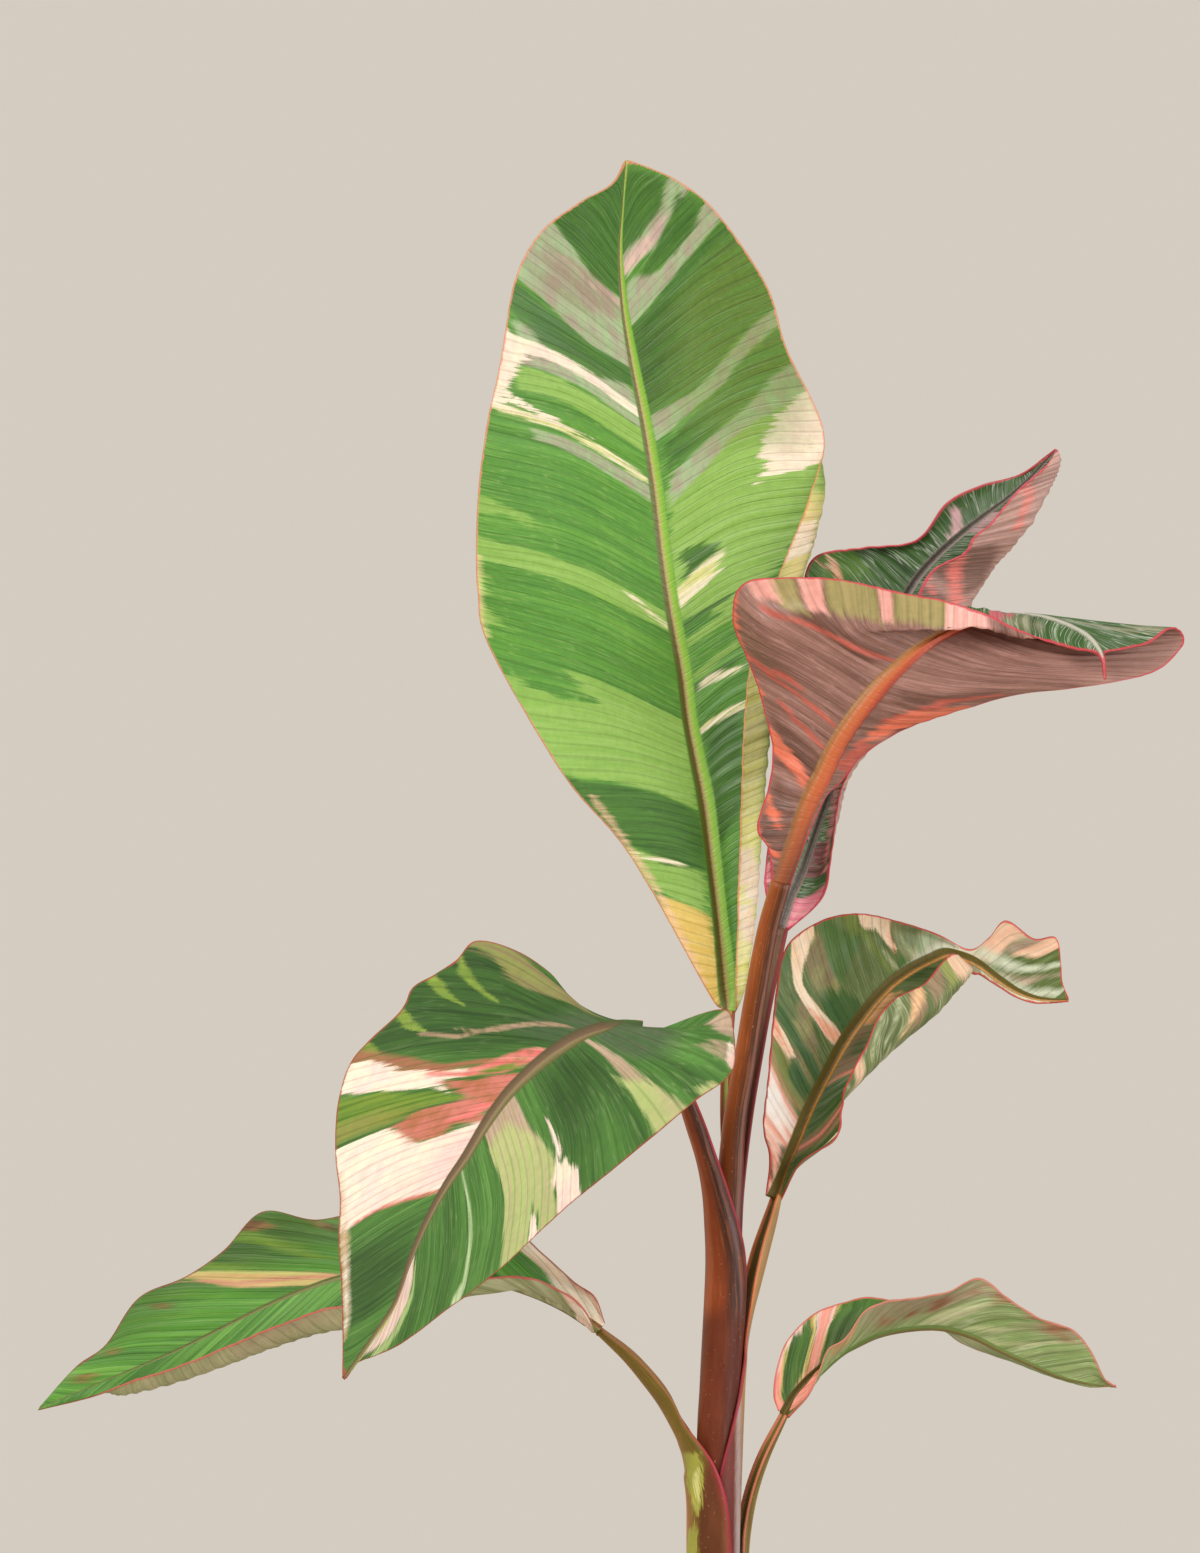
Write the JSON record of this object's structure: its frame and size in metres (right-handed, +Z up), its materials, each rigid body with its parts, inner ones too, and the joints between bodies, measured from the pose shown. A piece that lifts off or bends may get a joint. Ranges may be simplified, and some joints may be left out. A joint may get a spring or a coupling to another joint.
{
  "type": "potted banana plant",
  "caption": "Young variegated banana plant: broad leaves on sheathed stalks that form one pseudostem, rooted in soil in a plain round pot",
  "frame": {"origin": "centre of the pot's flat base", "axes": "+Z up, the picture's viewer looks along +Y, +X to the viewer's right"},
  "size_m": [0.4582, 0.2244, 0.7576],
  "materials": {
    "pot": "matte",
    "soil": "matte",
    "stalk_green": "satin",
    "stalk_copper": "satin",
    "stalk_olive": "satin",
    "blade_green": "satin",
    "blade_red": "satin"
  },
  "bodies": {
    "root": {"pot": "pot", "soil": "soil", "leaf_a_stalk": "stalk_green", "leaf_b_stalk": "stalk_copper", "leaf_c_stalk": "stalk_copper", "leaf_d_stalk": "stalk_copper", "leaf_e_stalk": "stalk_olive", "leaf_f_stalk": "stalk_olive", "leaf_g_stalk": "stalk_olive", "leaf_a_blade": "blade_green", "leaf_b_blade": "blade_red", "leaf_c_blade": "blade_red", "leaf_d_blade": "blade_green", "leaf_e_blade": "blade_green", "leaf_f_blade": "blade_green", "leaf_g_blade": "blade_green"}
  },
  "joints": []
}
